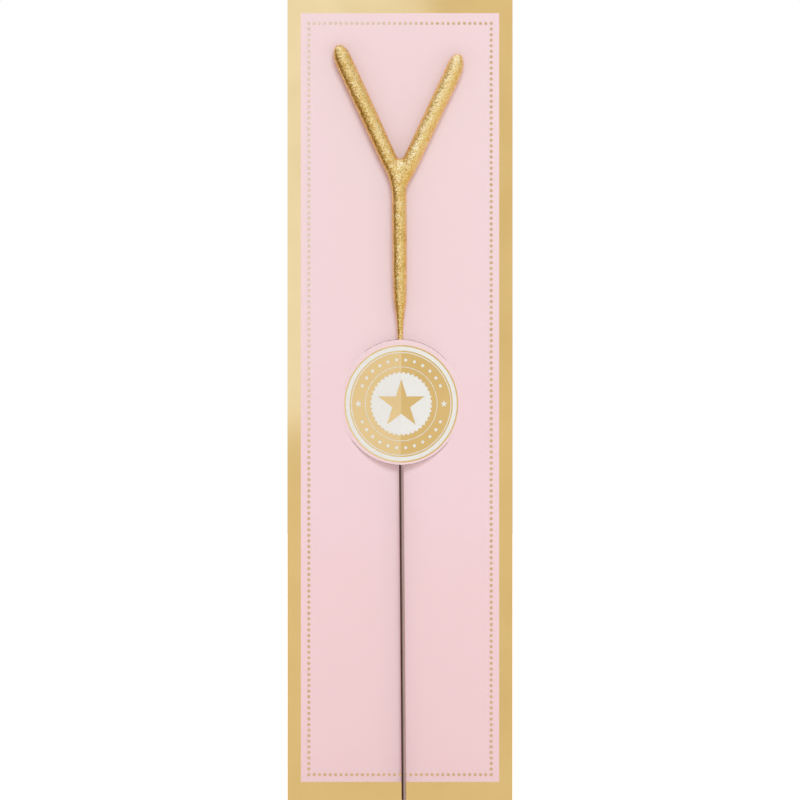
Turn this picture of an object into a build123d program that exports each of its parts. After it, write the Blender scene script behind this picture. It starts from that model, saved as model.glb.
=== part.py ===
from build123d import *
from math import asin, atan, cos, degrees, hypot, pi, radians, sin, tan
import os

os.makedirs("parts", exist_ok=True)

# Card, in millimetres
card_w = 59.0
card_h = 210.0
board_t = 0.5
film_t = 0.05
side_margin = 3.5
top_margin = 3.6
bottom_margin = 4.9

# Dotted line inside the panel
dot_r = 0.41
dot_side_inset = 2.1
dot_top_inset = 2.7
dot_bottom_inset = 1.9
dot_pitch_x = 1.4
dot_pitch_z = 1.46

# Round strap and its printed medallion
disc_x = 0.2
disc_z = 104.4
cut_r = 16.4
kerf = 0.05
hinge_half = 15.2
print_drop = 0.4
print_shift = 0.13
rim_out_r = 15.38
rim_in_r = 15.0
line_out_r = 13.9
line_in_r = 13.54
band_out_r = 13.3
band_in_r = 9.78
seal_out_r = 9.6
seal_tip_r = 7.92
seal_root_r = 8.44
seal_teeth = 40
star_r = 6.57
star_drop = 0.1
small_star_r = 1.05
bead_r = 0.42
bead_turn = 12.0
star_waist = 0.382

# Sparkler
wire_d = 1.2
branch_d = 0.9
wire_gap = 0.05
wire_end_z = 0.3
lean = 0.45
fork_v = 161.8
bend_r = 12.0
left_turn = 24.0
left_len = 35.0
right_fork_v = 160.6
right_turn = 25.7
right_len = 33.8
stem_r = 1.9
arm_r = 2.2
paint_t = 0.15
paint_end_t = 0.08
paint_end_v = 121.2
neck_len = 7.8
flare_rise = 0.18
swell_len = 14.5
arm_root_r = 1.55
arm_root_len = 9.0
tip_len = 4.2
tip_swell = 0.03
left_tip_turn = 4.0
right_tip_turn = 8.0
core_past = 1.0
web_r = 1.4
web_rise = 4.4
web_u = 0.36

# Clearances between the sparkler and the card
coat_gap = 0.1
strap_gap = 0.15

# Worked out from the sizes above
front_t = board_t + 2 * film_t
axis_h = front_t + coat_gap + arm_r + tip_swell
ride_r = wire_d / 2 + strap_gap
tilt = atan(axis_h / hinge_half) + asin(ride_r / hypot(axis_h, hinge_half))
squeeze = cos(tilt)
crest_h = axis_h + ride_r
tangent_x = ride_r * sin(tilt)
tangent_h = axis_h + ride_r * cos(tilt)
cut_a = cut_r * squeeze
tall = crest_h + board_t + 1.0
panel_w = card_w - 2 * side_margin
panel_h = card_h - top_margin - bottom_margin
panel_z = bottom_margin + panel_h / 2

# Planes: the front faces -Y, so a front sketch lies on XZ and grows towards the viewer
front = Plane.XZ
board_face = Plane.XZ.offset(board_t)
print_face = Plane.XZ.offset(board_t + film_t)
disc_plane = Plane((disc_x, 0, disc_z), x_dir=(1, 0, 0), z_dir=(0, -1, 0))
print_plane = Plane((disc_x + print_shift, 0, disc_z - print_drop), x_dir=(1, 0, 0), z_dir=(0, -1, 0))
section_plane = Plane((disc_x, 0, disc_z - cut_r), x_dir=(1, 0, 0), z_dir=(0, 0, 1))
wire_plane = Plane(
    (disc_x + (disc_z - wire_end_z) * tan(radians(lean)), -axis_h, wire_end_z),
    x_dir=(cos(radians(lean)), 0, sin(radians(lean))),
    z_dir=(0, -1, 0),
)


def tent_section(low, high):
    """Section across the strap between two heights above its back face."""
    with BuildSketch(section_plane) as section:
        with BuildLine():
            Line((hinge_half, -low), (tangent_x, -tangent_h - low))
            ThreePointArc(
                (tangent_x, -tangent_h - low),
                (0, -crest_h - low),
                (-tangent_x, -tangent_h - low),
            )
            Line((-tangent_x, -tangent_h - low), (-hinge_half, -low))
            Line((-hinge_half, -low), (-hinge_half, -high))
            Line((-hinge_half, -high), (-tangent_x, -tangent_h - high))
            ThreePointArc(
                (-tangent_x, -tangent_h - high),
                (0, -crest_h - high),
                (tangent_x, -tangent_h - high),
            )
            Line((tangent_x, -tangent_h - high), (hinge_half, -high))
            Line((hinge_half, -high), (hinge_half, -low))
        make_face()
    return section.sketch


def star_points(radius, waist, count):
    """Corners of a star, squeezed sideways as the tented strap shows it."""
    corners = []
    for i in range(2 * count):
        reach = radius if i % 2 == 0 else waist
        turn = pi / 2 + pi * i / count
        corners.append((squeeze * reach * cos(turn), reach * sin(turn)))
    return corners


# Card board with the opening that the strap was cut from
with BuildPart() as card_board:
    with BuildSketch(front):
        with Locations((0, card_h / 2)):
            Rectangle(card_w, card_h)
    extrude(amount=board_t)
    with BuildSketch(disc_plane):
        Ellipse(cut_a, cut_r)
        Rectangle(2 * hinge_half, 4 * cut_r, mode=Mode.INTERSECT)
    extrude(amount=board_t, mode=Mode.SUBTRACT)
card_board.part.label = "card_board"
export_step(card_board.part, "parts/card_board.step")

# Strap, tented over the wire
with BuildPart() as strap:
    add(tent_section(0, board_t))
    extrude(amount=2 * cut_r)
    with BuildSketch(disc_plane):
        Ellipse(cut_a - kerf, cut_r - kerf)
    extrude(amount=tall, mode=Mode.INTERSECT)
strap.part.label = "strap"
export_step(strap.part, "parts/strap.step")

# Pink panel on the board
with BuildPart() as card_print:
    with BuildSketch(board_face):
        with Locations((0, panel_z)):
            Rectangle(panel_w, panel_h)
    extrude(amount=film_t)
    with BuildSketch(disc_plane):
        Ellipse(cut_a, cut_r)
        Rectangle(2 * hinge_half, 4 * cut_r, mode=Mode.INTERSECT)
    extrude(amount=tall, mode=Mode.SUBTRACT)
card_print.part.label = "card_print"
export_step(card_print.part, "parts/card_print.step")

# Gold foil around the panel
with BuildPart() as border_foil:
    with BuildSketch(board_face):
        with Locations((0, card_h / 2)):
            Rectangle(card_w, card_h)
        with Locations((0, panel_z)):
            Rectangle(panel_w, panel_h, mode=Mode.SUBTRACT)
    extrude(amount=film_t)
border_foil.part.label = "border_foil"
export_step(border_foil.part, "parts/border_foil.step")

# Gold dots in a line around the panel
dots_w = panel_w - 2 * dot_side_inset
dots_low = bottom_margin + dot_bottom_inset
dots_high = card_h - top_margin - dot_top_inset
dots_h = dots_high - dots_low
across = round(dots_w / dot_pitch_x)
along = round(dots_h / dot_pitch_z)
step_x = dots_w / across
step_z = dots_h / along
with BuildPart() as dot_foil:
    with BuildSketch(print_face):
        with Locations((0, dots_low), (0, dots_high)):
            with GridLocations(step_x, step_z, across + 1, 1):
                Circle(dot_r)
        with Locations((-dots_w / 2, dots_low + dots_h / 2), (dots_w / 2, dots_low + dots_h / 2)):
            with GridLocations(step_x, step_z, 1, along - 1):
                Circle(dot_r)
    extrude(amount=film_t)
dot_foil.part.label = "dot_foil"
export_step(dot_foil.part, "parts/dot_foil.step")

# Pink margin on the strap
with BuildPart() as strap_print:
    add(tent_section(board_t, board_t + film_t))
    extrude(amount=2 * cut_r)
    with BuildSketch(disc_plane):
        Ellipse(cut_a - kerf, cut_r - kerf)
    extrude(amount=tall, mode=Mode.INTERSECT)
    with BuildSketch(print_plane):
        Ellipse(rim_out_r * squeeze, rim_out_r)
    extrude(amount=tall, mode=Mode.SUBTRACT)
strap_print.part.label = "strap_print"
export_step(strap_print.part, "parts/strap_print.step")

# Outer ring of the medallion
with BuildPart() as rim_foil:
    add(tent_section(board_t, board_t + film_t))
    extrude(amount=2 * cut_r)
    with BuildSketch(print_plane):
        Ellipse(rim_out_r * squeeze, rim_out_r)
        Ellipse(rim_in_r * squeeze, rim_in_r, mode=Mode.SUBTRACT)
    extrude(amount=tall, mode=Mode.INTERSECT)
rim_foil.part.label = "rim_foil"
export_step(rim_foil.part, "parts/rim_foil.step")

# Fine ring of the medallion
with BuildPart() as line_foil:
    add(tent_section(board_t, board_t + film_t))
    extrude(amount=2 * cut_r)
    with BuildSketch(print_plane):
        Ellipse(line_out_r * squeeze, line_out_r)
        Ellipse(line_in_r * squeeze, line_in_r, mode=Mode.SUBTRACT)
    extrude(amount=tall, mode=Mode.INTERSECT)
line_foil.part.label = "line_foil"
export_step(line_foil.part, "parts/line_foil.step")

# Broad ring, with a small star each side and beads left open
band_mid = (band_out_r + band_in_r) / 2
small_spots = [(-band_mid * squeeze, 0), (band_mid * squeeze, 0)]
bead_spots = []
for half in (0, 180):
    for i in range(2, round(180 / bead_turn) - 1):
        turn = radians(half + i * bead_turn)
        bead_spots.append((band_mid * squeeze * cos(turn), band_mid * sin(turn)))
with BuildPart() as band_foil:
    add(tent_section(board_t, board_t + film_t))
    extrude(amount=2 * cut_r)
    with BuildSketch(print_plane):
        Ellipse(band_out_r * squeeze, band_out_r)
        Ellipse(band_in_r * squeeze, band_in_r, mode=Mode.SUBTRACT)
        with Locations(*small_spots):
            Polygon(
                *star_points(small_star_r, small_star_r * star_waist, 5),
                align=None,
                mode=Mode.SUBTRACT,
            )
        with Locations(*bead_spots):
            Ellipse(bead_r * squeeze, bead_r, mode=Mode.SUBTRACT)
    extrude(amount=tall, mode=Mode.INTERSECT)
band_foil.part.label = "band_foil"
export_step(band_foil.part, "parts/band_foil.step")

# Inner ring with a serrated edge
with BuildPart() as seal_foil:
    add(tent_section(board_t, board_t + film_t))
    extrude(amount=2 * cut_r)
    with BuildSketch(print_plane):
        Ellipse(seal_out_r * squeeze, seal_out_r)
        Polygon(
            *star_points(seal_tip_r, seal_root_r, seal_teeth),
            align=None,
            mode=Mode.SUBTRACT,
        )
    extrude(amount=tall, mode=Mode.INTERSECT)
seal_foil.part.label = "seal_foil"
export_step(seal_foil.part, "parts/seal_foil.step")

# Star in the middle
with BuildPart() as star_foil:
    add(tent_section(board_t, board_t + film_t))
    extrude(amount=2 * cut_r)
    with BuildSketch(print_plane):
        with Locations((0, -star_drop)):
            Polygon(*star_points(star_r, star_r * star_waist, 5), align=None)
    extrude(amount=tall, mode=Mode.INTERSECT)
star_foil.part.label = "star_foil"
export_step(star_foil.part, "parts/star_foil.step")

# Stem wire: grip, stem and left arm in one bent length
left_dir = (-sin(radians(left_turn)), cos(radians(left_turn)))
right_dir = (sin(radians(right_turn)), cos(radians(right_turn)))
left_core = left_len + core_past
right_core = right_len + core_past
with BuildPart() as stem_wire:
    with BuildLine(wire_plane) as stem_path:
        FilletPolyline(
            (0, 0),
            (0, fork_v),
            (left_core * left_dir[0], fork_v + left_core * left_dir[1]),
            radius=bend_r,
        )
    with BuildSketch(Plane(stem_path.line @ 0, z_dir=stem_path.line % 0)):
        Circle(wire_d / 2)
    sweep(path=stem_path.line)
stem_wire.part.label = "stem_wire"
export_step(stem_wire.part, "parts/stem_wire.step")

# Branch wire: laid beside the stem wire, then bent along the right arm
branch_u = (wire_d + branch_d) / 2 + wire_gap
branch_v = right_fork_v + branch_u / tan(radians(right_turn))
branch_low = right_fork_v - 7.0
with BuildPart() as branch_wire:
    with BuildLine(wire_plane) as branch_path:
        FilletPolyline(
            (branch_u, branch_low),
            (branch_u, branch_v),
            (right_core * right_dir[0], right_fork_v + right_core * right_dir[1]),
            radius=bend_r / 2,
        )
    with BuildSketch(Plane(branch_path.line @ 0, z_dir=branch_path.line % 0)):
        Circle(branch_d / 2)
    sweep(path=branch_path.line)
branch_wire.part.label = "branch_wire"
export_step(branch_wire.part, "parts/branch_wire.step")


def along_plane(u, v, turn):
    """Plane whose local y leaves a point of the wire plane, turned clockwise from the stem."""
    return Plane(
        wire_plane.from_local_coords(Vector(u, v, 0)),
        x_dir=wire_plane.x_dir * cos(radians(turn)) - wire_plane.y_dir * sin(radians(turn)),
        z_dir=(0, -1, 0),
    )


# Each arm: its plane, where its root starts along it, its root radius, its length and its tip plane
left_arm = (
    along_plane(0, fork_v, -left_turn),
    bend_r * tan(radians(left_turn / 2)),
    stem_r - 0.05,
    left_len,
    along_plane(left_len * left_dir[0], fork_v + left_len * left_dir[1], left_tip_turn - left_turn),
)
right_arm = (
    along_plane(0, right_fork_v, right_turn),
    0.0,
    arm_root_r,
    right_len,
    along_plane(
        right_len * right_dir[0],
        right_fork_v + right_len * right_dir[1],
        right_turn - right_tip_turn,
    ),
)


def forked_coat(shrink, end_v):
    """Forked solid around the wires, the given amount inside the painted surface."""
    end_r = wire_d / 2 + (0.02 if shrink > 0 else paint_end_t)
    full_r = stem_r - shrink
    flare_r = 0.72 * stem_r - shrink
    flare_v = paint_end_v + neck_len
    full_v = flare_v + swell_len
    past_bend = bend_r * tan(radians(left_turn / 2)) + 3
    with BuildPart() as coat:
        with BuildSketch(wire_plane):
            with BuildLine():
                Polyline((0, end_v), (end_r, end_v))
                Bezier(
                    (end_r, end_v),
                    (end_r, (end_v + flare_v) / 2),
                    (flare_r - 2.0 * flare_rise, flare_v - 2.0),
                    (flare_r, flare_v),
                )
                Bezier(
                    (flare_r, flare_v),
                    (flare_r + 2.4 * flare_rise, flare_v + 2.4),
                    (full_r - 0.04, flare_v + 0.45 * swell_len),
                    (full_r, full_v),
                )
                Polyline((full_r, full_v), (full_r, full_v + 1), (0, full_v + 1), (0, end_v))
            make_face()
        revolve(axis=Axis(wire_plane.origin, wire_plane.y_dir))
        with BuildLine(wire_plane) as limb:
            FilletPolyline(
                (0, full_v + 1),
                (0, fork_v),
                (past_bend * left_dir[0], fork_v + past_bend * left_dir[1]),
                radius=bend_r,
            )
        with BuildSketch(Plane(limb.line @ 0, z_dir=limb.line % 0)):
            Circle(stem_r - shrink)
        sweep(path=limb.line)
        for arm_plane, start, root_r, length, tip_plane in (left_arm, right_arm):
            with BuildSketch(arm_plane):
                Polygon(
                    (0, start),
                    (root_r - shrink, start),
                    (arm_r - shrink, arm_root_len),
                    (arm_r - shrink, length),
                    (0, length),
                    align=None,
                )
            revolve(axis=Axis(arm_plane.origin, arm_plane.y_dir))
            tip_r = arm_r + tip_swell - shrink
            tip_h = tip_len - shrink
            with BuildSketch(tip_plane):
                with BuildLine():
                    Bezier((tip_r, 0), (tip_r, 0.55 * tip_h), (0.55 * tip_r, tip_h), (0, tip_h))
                    Line((0, tip_h), (0, -tip_r))
                    JernArc((0, -tip_r), (1, 0), tip_r, 90)
                make_face()
            revolve(axis=Axis(tip_plane.origin, tip_plane.y_dir))
        with Locations(wire_plane.from_local_coords(Vector(web_u, fork_v + web_rise, 0))):
            Sphere(web_r - shrink)
    return coat.part


# Sparkler mix, dipped on around both wires
mix_solid = forked_coat(paint_t, paint_end_v + 2.5)
with BuildPart() as composition:
    add(mix_solid)
    add(stem_wire.part, mode=Mode.SUBTRACT)
    add(branch_wire.part, mode=Mode.SUBTRACT)
composition.part.label = "composition"
export_step(composition.part, "parts/composition.step")

# Gold paint over the mix
with BuildPart() as gold_paint:
    add(forked_coat(0, paint_end_v))
    add(mix_solid, mode=Mode.SUBTRACT)
    add(stem_wire.part, mode=Mode.SUBTRACT)
gold_paint.part.label = "gold_paint"
export_step(gold_paint.part, "parts/gold_paint.step")
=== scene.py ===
# %% [markdown]
# A forked sparkler on its card.
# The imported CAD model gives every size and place. This script dresses its pieces, and models two things
# that belong to the looks alone: the grainy skin of the gold coat and the fine line of the die.
# Everything is in metres, and the front of the card faces -Y.

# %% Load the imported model
import math

import bpy
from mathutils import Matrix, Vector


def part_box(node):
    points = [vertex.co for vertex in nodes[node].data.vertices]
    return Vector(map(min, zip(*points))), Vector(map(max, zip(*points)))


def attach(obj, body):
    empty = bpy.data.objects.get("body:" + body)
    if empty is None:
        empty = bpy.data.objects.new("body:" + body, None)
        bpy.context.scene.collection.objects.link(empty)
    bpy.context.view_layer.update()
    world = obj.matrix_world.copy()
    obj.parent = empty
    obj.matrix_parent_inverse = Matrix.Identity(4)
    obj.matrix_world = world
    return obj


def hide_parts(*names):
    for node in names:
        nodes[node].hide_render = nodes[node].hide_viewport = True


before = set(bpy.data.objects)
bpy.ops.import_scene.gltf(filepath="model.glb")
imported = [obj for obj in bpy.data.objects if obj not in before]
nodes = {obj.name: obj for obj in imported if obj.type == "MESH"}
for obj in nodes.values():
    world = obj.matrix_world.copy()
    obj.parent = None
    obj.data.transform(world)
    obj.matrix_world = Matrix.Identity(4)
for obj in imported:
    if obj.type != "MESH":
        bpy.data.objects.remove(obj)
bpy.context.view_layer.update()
scene = bpy.context.scene
scene.view_settings.view_transform = "Standard"
mm = 0.001
print("CAD nodes:", sorted(nodes))

# %% [markdown]
# The photograph looks straight at the card, and the card fills its height.
# A long lens from far away keeps the card's edges parallel, as they are there.
# The lens follows from similar triangles: the sensor times the distance, over the card's height.
# It is a hair longer than that, so that no pale line shows along the picture's edges.

# %% Camera
card_low, card_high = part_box("card_board")
card_tall = card_high.z - card_low.z
camera_far = 1.5
sensor_wide = 36
overfill = 1.0014
bpy.ops.object.select_all(action="DESELECT")
bpy.ops.object.camera_add(
    location=(0, -camera_far, card_tall / 2), rotation=(math.radians(90), 0, 0)
)
camera = bpy.context.object
camera.name = "front_camera"
camera.data.sensor_width = sensor_wide
camera.data.lens = sensor_wide * overfill * (camera_far + card_low.y) / card_tall
scene.camera = camera
print("lens in millimetres:", round(camera.data.lens, 1))

# %% [markdown]
# Gold shows whatever stands around it, so a room is painted on the world for reflections:
# a window of cool daylight in the upper left, pale walls, and a warm dark corner at the far left.
# The window's edges pass just beside and below the middle, so the foil is palest in the upper left
# of the card, and the corner darkens the left side of the stem and the wire.
# Ink and paper need no such picture, so they get even light, a little warm from the front,
# and the camera sees plain white.

# %% Studio light around the card
studio = bpy.data.worlds.new("studio")
scene.world = studio
studio.use_nodes = True
wn, wl = studio.node_tree.nodes, studio.node_tree.links
wn.clear()
out = wn.new("ShaderNodeOutputWorld")
way = wn.new("ShaderNodeTexCoord")
axes = wn.new("ShaderNodeSeparateXYZ")
wl.new(way.outputs["Generated"], axes.inputs[0])


def world_span(source, low, high):
    """A direction mapped smoothly to 0 at low and 1 at high."""
    fit = wn.new("ShaderNodeMapRange")
    fit.interpolation_type = "SMOOTHSTEP"
    fit.inputs["From Min"].default_value = low
    fit.inputs["From Max"].default_value = high
    wl.new(source, fit.inputs["Value"])
    return fit.outputs[0]


def daylight(level):
    """The cool light of the window."""
    return (level, level * 1.16, level * 1.66)


def pale(level):
    """A wall that the window lights."""
    return (level, level * 1.07, level * 1.36)


def plain(level):
    """Even grey."""
    return (level, level, level)


def dusk(level):
    """A wall away from the window."""
    return (level, level * 0.9, level * 0.7)


def warm(level):
    """The brown of a dark corner."""
    return (level, level * 0.7, level * 0.33)


def world_ramp(source, stops):
    """Colour from left to right across the room, given as stops from -1 to 1."""
    fit = wn.new("ShaderNodeMapRange")
    fit.inputs["From Min"].default_value = -1
    fit.inputs["From Max"].default_value = 1
    wl.new(source, fit.inputs["Value"])
    ramp = wn.new("ShaderNodeValToRGB")
    while len(ramp.color_ramp.elements) < len(stops):
        ramp.color_ramp.elements.new(0.5)
    for element, (spot, colour) in zip(ramp.color_ramp.elements, stops):
        element.position = (spot + 1) / 2
        element.color = (*colour, 1)
    wl.new(fit.outputs[0], ramp.inputs[0])
    return ramp.outputs["Color"]


def world_blend(share, a, b):
    """Goes from a to b, each a colour or a node's output."""
    blend = wn.new("ShaderNodeMix")
    blend.data_type = "RGBA"
    wl.new(share, blend.inputs["Factor"])
    for socket, value in ((blend.inputs[6], a), (blend.inputs[7], b)):
        if isinstance(value, tuple):
            socket.default_value = (*value, 1)
        else:
            wl.new(value, socket)
    return blend.outputs[2]


high = world_ramp(
    axes.outputs["X"],
    [
        (-1, dusk(0.4)), (-0.82, dusk(0.57)), (-0.62, pale(0.86)), (-0.4, daylight(0.96)),
        (0, daylight(1.0)), (0.36, pale(0.96)), (0.67, pale(0.8)), (0.88, plain(0.7)), (1, plain(0.62)),
    ],
)
level = world_ramp(
    axes.outputs["X"],
    [
        (-1, warm(0.26)), (-0.86, warm(0.3)), (-0.72, warm(0.44)), (-0.56, dusk(0.76)),
        (-0.45, pale(0.96)), (-0.2, daylight(0.98)), (-0.001, daylight(1.03)), (0.005, plain(0.81)),
        (0.02, plain(0.85)), (0.2, pale(0.92)), (0.34, pale(0.88)), (0.44, plain(0.84)),
        (0.87, plain(0.8)), (1, plain(0.74)),
    ],
)
low = world_ramp(
    axes.outputs["X"],
    [
        (-1, warm(0.22)), (-0.86, warm(0.26)), (-0.76, warm(0.42)), (-0.65, dusk(0.62)),
        (-0.36, dusk(0.68)), (-0.1, plain(0.83)), (-0.015, plain(0.86)), (0.018, plain(0.83)),
        (0.35, plain(0.86)), (0.65, dusk(0.84)), (1, dusk(0.7)),
    ],
)
sill = world_ramp(
    axes.outputs["X"],
    [
        (-1, warm(0.3)), (-0.86, warm(0.34)), (-0.72, dusk(0.5)), (-0.56, plain(0.84)),
        (-0.45, pale(0.93)), (-0.2, plain(0.88)), (-0.015, plain(0.86)), (0.018, plain(0.86)),
        (0.44, plain(0.84)), (1, plain(0.73)),
    ],
)
sill_edge = (-0.045, -0.018)
window_foot = (-0.014, 0.006)
window_head = (0.08, 0.2)
room_side = (0.1, 0.4)
ahead = world_blend(world_span(axes.outputs["Z"], *sill_edge), low, sill)
ahead = world_blend(world_span(axes.outputs["Z"], *window_foot), ahead, level)
ahead = world_blend(world_span(axes.outputs["Z"], *window_head), ahead, high)
room = world_blend(world_span(axes.outputs["Y"], *room_side), ahead, plain(0.8))
mirrored = wn.new("ShaderNodeBackground")
wl.new(room, mirrored.inputs["Color"])
matte = wn.new("ShaderNodeBackground")
warm_front = (0.57, 0.355, 0.32)
soft_side = (-0.1, 0.2)
soft_light = world_blend(world_span(axes.outputs["Y"], *soft_side), warm_front, plain(1.06))
wl.new(soft_light, matte.inputs["Color"])
white = wn.new("ShaderNodeBackground")
white.inputs["Color"].default_value = (1, 1, 1, 1)
ray = wn.new("ShaderNodeLightPath")
shiny = wn.new("ShaderNodeMath")
shiny.operation = "MAXIMUM"
wl.new(ray.outputs["Is Glossy Ray"], shiny.inputs[0])
wl.new(ray.outputs["Is Transmission Ray"], shiny.inputs[1])
pick_room = wn.new("ShaderNodeMixShader")
wl.new(shiny.outputs[0], pick_room.inputs["Fac"])
wl.new(matte.outputs[0], pick_room.inputs[1])
wl.new(mirrored.outputs[0], pick_room.inputs[2])
pick_white = wn.new("ShaderNodeMixShader")
wl.new(ray.outputs["Is Camera Ray"], pick_white.inputs["Fac"])
wl.new(pick_room.outputs[0], pick_white.inputs[1])
wl.new(white.outputs[0], pick_white.inputs[2])
wl.new(pick_white.outputs[0], out.inputs["Surface"])
studio.cycles.sampling_method = "NONE"
print("world nodes:", len(wn))

# %% [markdown]
# One soft lamp stands in front of the card, up and a little to the right, and is the main light.
# It leaves a reddish shade beside the arms and a soft one under the strap.
# Reflections leave it out, so that no white square shows in the foil.

# %% Soft lamp
lamp_aim = (0, -0.002, card_tall / 2)
lamp_way = (0.1, -1, 0.5)
lamp_far = 2.5
reach = math.sqrt(sum(d * d for d in lamp_way))
bpy.ops.object.select_all(action="DESELECT")
bpy.ops.object.light_add(
    type="AREA", location=[a + lamp_far * d / reach for a, d in zip(lamp_aim, lamp_way)]
)
lamp = bpy.context.object
lamp.name = "lamp_front"
lamp.data.size = 1.0
lamp.data.energy = 31.8
lamp.data.color = (0.7, 1.02, 1.07)
lamp.visible_glossy = False
lamp.rotation_euler = (
    math.acos(lamp_way[2] / reach),
    0,
    math.atan2(lamp_way[1], lamp_way[0]) + math.radians(90),
)
print("lamp at", [round(v, 2) for v in lamp.location])

# %% [markdown]
# The floor is a plain white sheet under the card's lower edge.
# It takes the shadow, and a little light of its own for the camera keeps it white elsewhere.
# Reflections pass through it, so the metal shows the painted studio all round.

# %% Floor
bpy.ops.object.select_all(action="DESELECT")
floor_wide = 6
floor_z = card_low.z - 0.2 * mm
floor_glow = 0.55
bpy.ops.mesh.primitive_plane_add(size=floor_wide, location=(0, 0, floor_z))
floor = bpy.context.object
floor.name = "floor"
bpy.ops.object.transform_apply(location=True, rotation=True, scale=True)
paper_floor = bpy.data.materials.new("white_floor")
paper_floor.use_nodes = True
fn, fl = paper_floor.node_tree.nodes, paper_floor.node_tree.links
floor_face = fn["Principled BSDF"]
floor_face.inputs["Base Color"].default_value = (0.92, 0.92, 0.92, 1)
floor_face.inputs["Roughness"].default_value = 0.9
floor_face.inputs["Specular IOR Level"].default_value = 0
floor_face.inputs["Emission Color"].default_value = (1, 1, 1, 1)
floor_ray = fn.new("ShaderNodeLightPath")
floor_gain = fn.new("ShaderNodeMath")
floor_gain.operation = "MULTIPLY"
floor_gain.inputs[1].default_value = floor_glow
fl.new(floor_ray.outputs["Is Camera Ray"], floor_gain.inputs[0])
fl.new(floor_gain.outputs[0], floor_face.inputs["Emission Strength"])
floor_clear = fn.new("ShaderNodeBsdfTransparent")
floor_pick = fn.new("ShaderNodeMixShader")
fl.new(floor_ray.outputs["Is Glossy Ray"], floor_pick.inputs["Fac"])
fl.new(floor_face.outputs[0], floor_pick.inputs[1])
fl.new(floor_clear.outputs[0], floor_pick.inputs[2])
fl.new(floor_pick.outputs[0], fn["Material Output"].inputs["Surface"])
floor.data.materials.append(paper_floor)
print("floor at", round(floor_z, 4))

# %% [markdown]
# Every finish here is a Principled shader with procedural detail on Object coordinates.
# These helpers only add and link nodes, so each finish below reads as a short recipe.

# %% Helpers for the finishes


def new_finish(name):
    """A material with its node list, links and shader."""
    finish = bpy.data.materials.new(name)
    finish.use_nodes = True
    tree = finish.node_tree
    return finish, tree.nodes, tree.links, tree.nodes["Principled BSDF"]


def object_place(tree_nodes, tree_links, stretch=(1, 1, 1)):
    """Object coordinates, stretched where a pattern runs one way."""
    where = tree_nodes.new("ShaderNodeTexCoord")
    turn = tree_nodes.new("ShaderNodeMapping")
    turn.inputs["Scale"].default_value = stretch
    tree_links.new(where.outputs["Object"], turn.inputs["Vector"])
    return turn.outputs["Vector"]


def speckle(tree_nodes, tree_links, place, grains_per_m, detail=2.0, rough=0.5):
    """Noise whose grains are about one over grains_per_m metres across."""
    noise = tree_nodes.new("ShaderNodeTexNoise")
    noise.inputs["Scale"].default_value = grains_per_m
    noise.inputs["Detail"].default_value = detail
    noise.inputs["Roughness"].default_value = rough
    tree_links.new(place, noise.inputs["Vector"])
    return noise.outputs["Fac"]


def tint(tree_nodes, tree_links, value, stops):
    """A colour ramp from (position, linear colour) stops."""
    ramp = tree_nodes.new("ShaderNodeValToRGB")
    while len(ramp.color_ramp.elements) < len(stops):
        ramp.color_ramp.elements.new(0.5)
    for element, (place, colour) in zip(ramp.color_ramp.elements, stops):
        element.position = place
        element.color = (*colour, 1)
    tree_links.new(value, ramp.inputs["Fac"])
    return ramp.outputs["Color"]


def spread(tree_nodes, tree_links, value, low, high, from_low=0.3, from_high=0.7):
    """A value mapped to a range, used for roughness and height."""
    span = tree_nodes.new("ShaderNodeMapRange")
    span.inputs["From Min"].default_value = from_low
    span.inputs["From Max"].default_value = from_high
    span.inputs["To Min"].default_value = low
    span.inputs["To Max"].default_value = high
    tree_links.new(value, span.inputs["Value"])
    return span.outputs["Result"]


def mathed(tree_nodes, tree_links, operation, a, b):
    """One sum on two values, either of which may be a plain number."""
    step = tree_nodes.new("ShaderNodeMath")
    step.operation = operation
    for socket, value in zip(step.inputs, (a, b)):
        if isinstance(value, (int, float)):
            socket.default_value = value
        else:
            tree_links.new(value, socket)
    return step.outputs[0]


def weighed(tree_nodes, tree_links, *pairs):
    """The sum of several values, each times its share."""
    total = None
    for value, share in pairs:
        part = mathed(tree_nodes, tree_links, "MULTIPLY", value, share)
        total = part if total is None else mathed(tree_nodes, tree_links, "ADD", total, part)
    return total


def drift_along(tree_nodes, tree_links, place, axis, low, high):
    """0 to 1 between two places along an axis of the piece."""
    split = tree_nodes.new("ShaderNodeSeparateXYZ")
    tree_links.new(place, split.inputs[0])
    return spread(tree_nodes, tree_links, split.outputs[axis], 0, 1, low, high)


def relief(tree_nodes, tree_links, height_value, tall, strength=1.0):
    """A bump whose full height is tall metres."""
    bump = tree_nodes.new("ShaderNodeBump")
    bump.inputs["Strength"].default_value = strength
    bump.inputs["Distance"].default_value = tall
    tree_links.new(height_value, bump.inputs["Height"])
    return bump.outputs["Normal"]


def dress(finish, *names):
    """Gives CAD nodes a finish."""
    for name in names:
        nodes[name].data.materials.clear()
        nodes[name].data.materials.append(finish)


# %% [markdown]
# The pink is matte ink on coated board: one colour, with a faint cloudiness and paper tooth.
# It is a shade deeper towards the foot of the card. A printed picture could carry it, but noise in the
# piece's own coordinates stays sharp at any distance.

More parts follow.
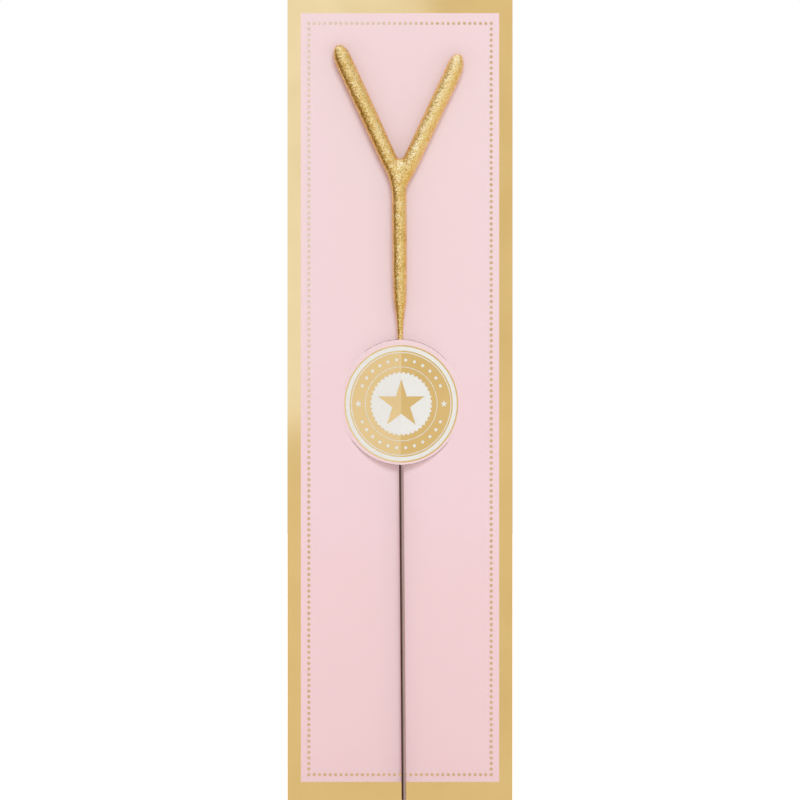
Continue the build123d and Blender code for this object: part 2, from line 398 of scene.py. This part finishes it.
# %% Pink print
pink_print, pn, pl, pink = new_finish("pink_print")
place = object_place(pn, pl)
cloud = speckle(pn, pl, place, 90, 3)
tooth = speckle(pn, pl, place, 5200, 2)
rise = drift_along(pn, pl, place, "Z", 0, card_tall)
ink = weighed(pn, pl, (rise, 0.85), (cloud, 0.2), (tooth, 0.15))
ink_stops = [
    (0.42, (0.872, 0.612, 0.625)),
    (0.5, (0.869, 0.626, 0.65)),
    (0.58, (0.86, 0.617, 0.641)),
    (0.68, (0.856, 0.633, 0.645)),
]
pl.new(tint(pn, pl, ink, ink_stops), pink.inputs["Base Color"])
pl.new(spread(pn, pl, tooth, 0.5, 0.64), pink.inputs["Roughness"])
pl.new(relief(pn, pl, tooth, 0.01 * mm, 0.5), pink.inputs["Normal"])
pink.inputs["Specular IOR Level"].default_value = 0.3
dress(pink_print, "card_print", "strap_print")
print("pink on", pink_print.name)

# %% [markdown]
# The gold areas are metallised foil pressed on the board: nearly a mirror, with a soft haze.
# A plain yellow would look the same from every side, so it is a true metal that shows the room.
# The card is never quite flat, so a slow, very shallow bump lets the reflections waver.

# %% Gold foil
gold_foil, gn, gl, foil = new_finish("gold_foil")
place = object_place(gn, gl)
broad = speckle(gn, gl, place, 60, 2)
press = speckle(gn, gl, place, 2600, 2)
wave = speckle(gn, gl, place, 22, 1)
foil_stops = [(0.3, (0.8, 0.548, 0.212)), (0.7, (0.855, 0.594, 0.243))]
gl.new(tint(gn, gl, broad, foil_stops), foil.inputs["Base Color"])
foil.inputs["Metallic"].default_value = 1
gl.new(spread(gn, gl, press, 0.035, 0.055), foil.inputs["Roughness"])
gl.new(relief(gn, gl, wave, 0.08 * mm), foil.inputs["Normal"])
dress(gold_foil, "border_foil", "rim_foil", "line_foil", "band_foil", "seal_foil", "star_foil")
print("foil on", gold_foil.name)

# %% [markdown]
# The dots are the same foil in specks under a millimetre wide. So small, they press in less evenly,
# and look duller and a little pinker than the broad border, so they get a finish of their own.

# %% Small foil dots
dot_gold, dn, dl, dot = new_finish("dot_gold")
place = object_place(dn, dl)
press = speckle(dn, dl, place, 1400, 2)
dot_stops = [(0.35, (0.7, 0.475, 0.265)), (0.65, (0.8, 0.55, 0.31))]
dl.new(tint(dn, dl, press, dot_stops), dot.inputs["Base Color"])
dot.inputs["Metallic"].default_value = 1
dl.new(spread(dn, dl, press, 0.04, 0.09), dot.inputs["Roughness"])
dress(dot_gold, "dot_foil")
print("dots in", dot_gold.name)

# %% [markdown]
# The board is white paper: bare in the medallion, on the back and along the cut edges.
# Real fibres are too fine to model, so stretched noise and a faint cloudiness stand for them,
# and keep the board from looking like plastic.

# %% White board
white_board, bn, bl, board = new_finish("white_board")
place = object_place(bn, bl)
fibre_place = object_place(bn, bl, (1, 1, 0.25))
fibre = speckle(bn, bl, fibre_place, 2600, 4, 0.6)
cloud = speckle(bn, bl, place, 160, 3)
pulp = weighed(bn, bl, (fibre, 0.6), (cloud, 0.4))
board_stops = [
    (0.3, (0.765, 0.735, 0.685)),
    (0.5, (0.803, 0.771, 0.725)),
    (0.7, (0.82, 0.79, 0.745)),
]
bl.new(tint(bn, bl, pulp, board_stops), board.inputs["Base Color"])
bl.new(spread(bn, bl, fibre, 0.6, 0.8), board.inputs["Roughness"])
bl.new(relief(bn, bl, fibre, 0.01 * mm, 0.4), board.inputs["Normal"])
board.inputs["Specular IOR Level"].default_value = 0.3
dress(white_board, "card_board", "strap")
print("board on", white_board.name)

# %% [markdown]
# The wire is bare drawn steel. Drawing leaves fine lines along it and a thin brownish oxide in patches.
# The darkening down the left side is painted shade in the base colour: the room's dark corner alone
# is too weak on a wire so thin. A Mapping node turns the pattern to the wire's lean.

# %% Steel wire
lean = math.radians(0.45)
strap_x = 0.2 * mm
strap_z = 104.4 * mm
wire_out = 2.93 * mm
wire_end_z = 0.3 * mm
wire_foot = (strap_x + (strap_z - wire_end_z) * math.tan(lean), -wire_out, wire_end_z)
steel_wire, sn, sl, steel = new_finish("steel_wire")
drawn = object_place(sn, sl, (1, 1, 0.01))
lines = speckle(sn, sl, drawn, 5200, 3, 0.6)
patch = speckle(sn, sl, object_place(sn, sl), 420, 3)
upright = object_place(sn, sl)
upright.node.inputs["Rotation"].default_value = (0, lean, 0)
wire_off = wire_foot[0] * math.cos(lean) + wire_foot[2] * math.sin(lean)
upright.node.inputs["Location"].default_value = (-wire_off, 0, 0)
# Painted shade: the base colour darkens down the wire's left side, standing in for the dark reflection
# there.
side = drift_along(sn, sl, upright, "X", -0.2 * mm, 0.26 * mm)
oxide_and_painted_shade = weighed(sn, sl, (lines, 0.25), (patch, 0.1), (side, 0.6))
steel_stops = [
    (0.2, (0.155, 0.088, 0.073)),
    (0.45, (0.29, 0.188, 0.168)),
    (0.7, (0.53, 0.39, 0.358)),
]
sl.new(tint(sn, sl, oxide_and_painted_shade, steel_stops), steel.inputs["Base Color"])
steel.inputs["Metallic"].default_value = 1
sl.new(spread(sn, sl, patch, 0.26, 0.38), steel.inputs["Roughness"])
sl.new(relief(sn, sl, lines, 0.01 * mm, 0.4), steel.inputs["Normal"])
dress(steel_wire, "stem_wire", "branch_wire")
print("steel on", steel_wire.name)

# %% [markdown]
# Under the paint is the grey sparkler mix, dried to a dull crust. Only a chip would show it,
# so coarse noise on a rough grey is enough.

# %% Sparkler mix
sparkler_mix, mn, ml, mix = new_finish("sparkler_mix")
place = object_place(mn, ml)
grit = speckle(mn, ml, place, 3000, 4, 0.65)
mix_stops = [(0.35, (0.05, 0.05, 0.05)), (0.65, (0.16, 0.155, 0.15))]
ml.new(tint(mn, ml, grit, mix_stops), mix.inputs["Base Color"])
ml.new(spread(mn, ml, grit, 0.6, 0.9), mix.inputs["Roughness"])
ml.new(relief(mn, ml, grit, 0.1 * mm, 0.8), mix.inputs["Normal"])
dress(sparkler_mix, "composition")
print("mix on", sparkler_mix.name)

# %% [markdown]
# The gold coat is drawn out from listed steps: a ring at the thin end, extruded, scaled and turned
# step by step along the stem and the left arm, and a second one along the right arm.
# A lathe could not follow the bend, and plain cylinders would not taper or round off.
# It is modelled upright over the origin and set on the wire's leaning line at the end.

# %% Rings drawn out along the arms
ring_sides = 36


def start_ring(name, radius, place, turn):
    """A filled ring across the run, ready to be drawn out."""
    bpy.ops.object.select_all(action="DESELECT")
    bpy.ops.mesh.primitive_circle_add(
        vertices=ring_sides, radius=radius, fill_type="NGON", location=place, rotation=(0, turn, 0)
    )
    ring = bpy.context.object
    ring.name = name
    bpy.ops.object.transform_apply(location=True, rotation=True, scale=True)
    bpy.ops.object.mode_set(mode="EDIT")
    bpy.ops.mesh.select_all(action="SELECT")
    return ring


def draw_out(steps, place, turn, radius):
    """Extrudes the selected ring through (advance, turn in degrees, new radius) steps."""
    spot = list(place)
    for advance, bend, new_radius in steps:
        move = (advance * mm * math.sin(turn), 0, advance * mm * math.cos(turn))
        bpy.ops.mesh.extrude_region_move(TRANSFORM_OT_translate={"value": move})
        spot = [s + m for s, m in zip(spot, move)]
        if bend:
            bpy.ops.transform.rotate(
                value=-math.radians(bend), orient_axis="Y", orient_type="GLOBAL", center_override=spot
            )
            turn += math.radians(bend)
        size = new_radius / radius
        bpy.ops.transform.resize(value=(size, size, size), center_override=spot)
        radius = new_radius
    bpy.ops.mesh.merge(type="CENTER")
    bpy.ops.object.mode_set(mode="OBJECT")
    return spot


def blunt_tip(radius, length):
    """Steps that close a run with half an egg."""
    angles = [math.radians(a) for a in (0, 15, 30, 44, 57, 68, 78, 86)]
    return [
        (length * (math.sin(b) - math.sin(a)), 0, radius * math.cos(b))
        for a, b in zip(angles, angles[1:])
    ]


stem_steps = [
    (1.3, 0, 0.7), (2.0, 0, 0.76), (2.0, 0, 0.91), (2.0, 0, 1.11), (1.0, 0, 1.26), (1.0, 0, 1.41),
    (1.0, 0, 1.55), (1.0, 0, 1.66), (2.0, 0, 1.76), (2.5, 0, 1.83), (3.0, 0, 1.87), (8.0, 0, 1.89),
    (11.48, 0, 1.92),
]
bend_steps = [(0.838, -3, 1.95)] * 8
left_steps = [
    (4.57, 0, 2.16), (2.0, 0, 2.22), (4.0, 0, 2.24), (10.0, -0.6, 2.23), (7.0, 0, 2.29),
    (2.95, 0.6, 2.27), (1.5, 2, 2.25), (0.1, 2, 2.24),
]
tip_long = 4.2
stem_foot = (0, 0, 119.7 * mm)
neck_r = 0.7
gold_coat = start_ring("gold_coat", neck_r * mm, stem_foot, 0)
left_run = stem_steps + bend_steps + left_steps + blunt_tip(2.24, tip_long)
left_end = draw_out(left_run, stem_foot, 0, neck_r)
branch_radii = (1.5, 1.55, 1.62, 1.7, 1.78, 1.85)
branch_turn = 25.7 / len(branch_radii)
branch_steps = [(4.895, 0, 1.45)] + [(0.897, branch_turn, radius) for radius in branch_radii]
right_steps = [
    (3.0, 0, 2.04), (4.29, 0, 2.21), (10.0, 0, 2.22), (9.3, 0, 2.27), (4.0, 0, 2.27),
    (1.5, -4, 2.25), (0.1, -4, 2.22),
]
branch_foot = (-0.25 * mm, 0, 152 * mm)
root_r = 1.4
right_coat = start_ring("right_coat", root_r * mm, branch_foot, 0)
right_run = branch_steps + right_steps + blunt_tip(2.22, tip_long)
right_end = draw_out(right_run, branch_foot, 0, root_r)
print("arm tips at", [round(v / mm, 1) for v in left_end], [round(v / mm, 1) for v in right_end])

# %% [markdown]
# Where the arms part, the dipped mix runs together into a web.
# A stretched ball fills the crotch. A boolean union would leave hard seams between the shapes,
# so a voxel remesh makes one skin of all three.
# All of it is first pressed a little flatter, which leaves room for the sand in the coat's depth.

# %% One skin over the fork


def shape_with(piece, name, kind, **settings):
    """Adds a modifier to the active piece, sets it and applies it."""
    modifier = piece.modifiers.new(name, kind)
    for setting, value in settings.items():
        setattr(modifier, setting, value)
    bpy.ops.object.modifier_apply(modifier=modifier.name)


web_spot = (0.4 * mm, 0, 164.7 * mm)
web_shape = (1.8, 2.0, 3.2)
flatten = 0.955
bpy.ops.object.select_all(action="DESELECT")
bpy.ops.mesh.primitive_uv_sphere_add(
    segments=32, ring_count=16, radius=1 * mm, location=web_spot, scale=web_shape
)
bpy.ops.object.transform_apply(location=True, rotation=True, scale=True)
for piece in (right_coat, gold_coat):
    piece.select_set(True)
bpy.context.view_layer.objects.active = gold_coat
bpy.ops.object.join()
bpy.ops.object.mode_set(mode="EDIT")
bpy.ops.mesh.select_all(action="SELECT")
bpy.ops.mesh.normals_make_consistent(inside=False)
bpy.ops.transform.resize(value=(1, flatten, 1), center_override=(0, 0, 0))
bpy.ops.object.mode_set(mode="OBJECT")
shape_with(gold_coat, "one_skin", "REMESH", mode="VOXEL", voxel_size=0.17 * mm)
print("skin faces:", len(gold_coat.data.polygons))

# %% [markdown]
# Smoothing around the crotch melts the seams there, and a small push outwards gives back what it took.
# Then two Displace modifiers with cloud textures give the dried coat its slow lumps and its sandy
# grain. A bump in the paint alone would leave the outline smooth.

# %% Soft fork and sandy surface
fork = gold_coat.vertex_groups.new(name="fork")
fork_spot = (0.2 * mm, 0, 164.6 * mm)
melt_reach = 7.5 * mm
melt_fade = 3.5 * mm
for vertex in gold_coat.data.vertices:
    away = math.dist(vertex.co, fork_spot)
    weight = max(0.0, min(1.0, (melt_reach - away) / melt_fade))
    if weight > 0:
        fork.add([vertex.index], weight, "REPLACE")
shape_with(gold_coat, "melt", "SMOOTH", factor=0.5, iterations=130, vertex_group="fork")
shape_with(gold_coat, "refill", "DISPLACE", mid_level=0, strength=0.15 * mm, vertex_group="fork")
shape_with(gold_coat, "even", "SMOOTH", factor=0.5, iterations=3)


def sandy(name, grain, tall):
    """Displaces the coat by a cloud texture with grains that many metres across."""
    cloud_texture = bpy.data.textures.new(name, "CLOUDS")
    cloud_texture.noise_scale = grain
    cloud_texture.noise_depth = 2
    settings = {"texture": cloud_texture, "texture_coords": "LOCAL", "mid_level": 0.5, "strength": tall}
    shape_with(gold_coat, name, "DISPLACE", **settings)


sandy("slow_lumps", 2.6 * mm, 0.1 * mm)
sandy("sand", 0.4 * mm, 0.05 * mm)
bpy.ops.object.shade_smooth()
gold_coat.rotation_euler = (0, -lean, 0)
gold_coat.location = wire_foot
bpy.ops.object.select_all(action="DESELECT")
gold_coat.select_set(True)
bpy.ops.object.transform_apply(location=True, rotation=True, scale=True)
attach(gold_coat, "sparkler")
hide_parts("gold_paint")
coat_box = [[round(c / mm, 2) for c in gold_coat.bound_box[i]] for i in (0, 6)]
print("coat box, mm:", coat_box)

# %% [markdown]
# The paint is full of tiny metal flakes over the sandy mix. Each flake tilts its own way,
# so bright and dark specks sit side by side, about a third of a millimetre across.
# Modelled flakes would be far too many, so the cells of a Voronoi pattern tip the normals instead.

# %% Grainy gold paint
gold_paint, cn, cl, paint = new_finish("gold_paint_grain")
place = object_place(cn, cl)
flakes_per_m = 3300
flake = cn.new("ShaderNodeTexVoronoi")
flake.inputs["Scale"].default_value = flakes_per_m
cl.new(place, flake.inputs["Vector"])
flake_parts = cn.new("ShaderNodeSeparateColor")
cl.new(flake.outputs["Color"], flake_parts.inputs[0])
grain = speckle(cn, cl, place, 2600, 2, 0.6)
drift = speckle(cn, cl, place, 260, 2)
# Painted highlight: the base colour turns paler to the right of the stem, so the right arm looks
# brighter.
painted_highlight_right = drift_along(cn, cl, place, "X", 1 * mm, 4 * mm)
glint = flake_parts.outputs["Red"]
shade = weighed(cn, cl, (grain, 0.55), (glint, 0.26), (drift, 0.19), (painted_highlight_right, 0.06))
paint_stops = [
    (0.34, (0.62, 0.37, 0.075)),
    (0.5, (0.88, 0.58, 0.18)),
    (0.66, (0.99, 0.79, 0.41)),
]
cl.new(tint(cn, cl, shade, paint_stops), paint.inputs["Base Color"])
paint.inputs["Metallic"].default_value = 1
cl.new(spread(cn, cl, grain, 0.3, 0.18), paint.inputs["Roughness"])
bumps = weighed(cn, cl, (grain, 1), (flake.outputs["Distance"], -0.6))
tilt = 0.28
tip = cn.new("ShaderNodeVectorMath")
tip.operation = "MULTIPLY_ADD"
cl.new(flake.outputs["Color"], tip.inputs[0])
tip.inputs[1].default_value = (tilt, tilt, tilt)
tip.inputs[2].default_value = (-tilt / 2, -tilt / 2, -tilt / 2)
lie = cn.new("ShaderNodeVectorMath")
lie.operation = "ADD"
cl.new(relief(cn, cl, bumps, 0.05 * mm), lie.inputs[0])
cl.new(tip.outputs[0], lie.inputs[1])
level_out = cn.new("ShaderNodeVectorMath")
level_out.operation = "NORMALIZE"
cl.new(lie.outputs[0], level_out.inputs[0])
cl.new(level_out.outputs[0], paint.inputs["Normal"])
gold_coat.data.materials.clear()
gold_coat.data.materials.append(gold_paint)
print("paint on", gold_coat.name)

# %% [markdown]
# The die leaves a fine crushed line in the card where it cut the strap free, above and below.
# Drawn into the ink's finish it would have no edge of its own, so it is a thin strip on the card:
# a ring squeezed to the strap's outline, cut back to its two arcs and given a little width.

# %% Die-cut line around the strap
squeeze = 0.972
cut_r = 16.4 * mm
line_w = 0.11 * mm
line_out = 0.552 * mm
upper_arc = (-38, 48)
lower_arc = (-52, 50)
bpy.ops.object.select_all(action="DESELECT")
bpy.ops.mesh.primitive_circle_add(
    vertices=360, radius=cut_r, location=(0, 0, 0), rotation=(math.radians(90), 0, 0)
)
cut_line = bpy.context.object
cut_line.name = "cut_line"
bpy.ops.object.transform_apply(location=True, rotation=True, scale=True)
bpy.ops.object.mode_set(mode="EDIT")
bpy.ops.mesh.select_all(action="DESELECT")
bpy.ops.object.mode_set(mode="OBJECT")
for vertex in cut_line.data.vertices:
    swing = math.degrees(math.atan2(vertex.co.x, abs(vertex.co.z)))
    low_end, high_end = upper_arc if vertex.co.z > 0 else lower_arc
    vertex.select = not low_end <= swing <= high_end
bpy.ops.object.mode_set(mode="EDIT")
bpy.ops.mesh.delete(type="VERT")
bpy.ops.mesh.select_all(action="SELECT")
wide = 1 + line_w / cut_r
bpy.ops.mesh.extrude_edges_move()
bpy.ops.transform.resize(value=(wide, wide, wide), center_override=(0, 0, 0))
bpy.ops.mesh.select_all(action="SELECT")
bpy.ops.transform.resize(value=(squeeze, 1, 1), center_override=(0, 0, 0))
bpy.ops.transform.translate(value=(strap_x, -line_out, strap_z))
bpy.ops.mesh.normals_make_consistent(inside=False)
bpy.ops.object.mode_set(mode="OBJECT")
shape_with(cut_line, "lip", "SOLIDIFY", thickness=0.02 * mm, offset=0)
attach(cut_line, "card")
print("cut line faces:", len(cut_line.data.polygons))

# %% [markdown]
# The line is grey and rough, darker than the printed face: crushed fibres, with painted shade for the
# gap.
# The die never presses evenly, so noise breaks the line into dark and pale stretches.

# %% Crushed paper edge and painted shade
crushed_edge_and_shade, en, el, edge = new_finish("crushed_edge_and_shade")
line_breaks = speckle(en, el, object_place(en, el), 1500, 3, 0.6)
# Painted shade: the dark stops stand for the shadowed gap along the cut as well as crushed paper.
edge_stops = [
    (0.4, (0.22, 0.16, 0.18)),
    (0.54, (0.38, 0.28, 0.31)),
    (0.68, (0.82, 0.6, 0.62)),
]
el.new(tint(en, el, line_breaks, edge_stops), edge.inputs["Base Color"])
el.new(spread(en, el, line_breaks, 0.75, 0.95), edge.inputs["Roughness"])
edge.inputs["Specular IOR Level"].default_value = 0.2
cut_line.data.materials.append(crushed_edge_and_shade)
print("edge on", cut_line.name)
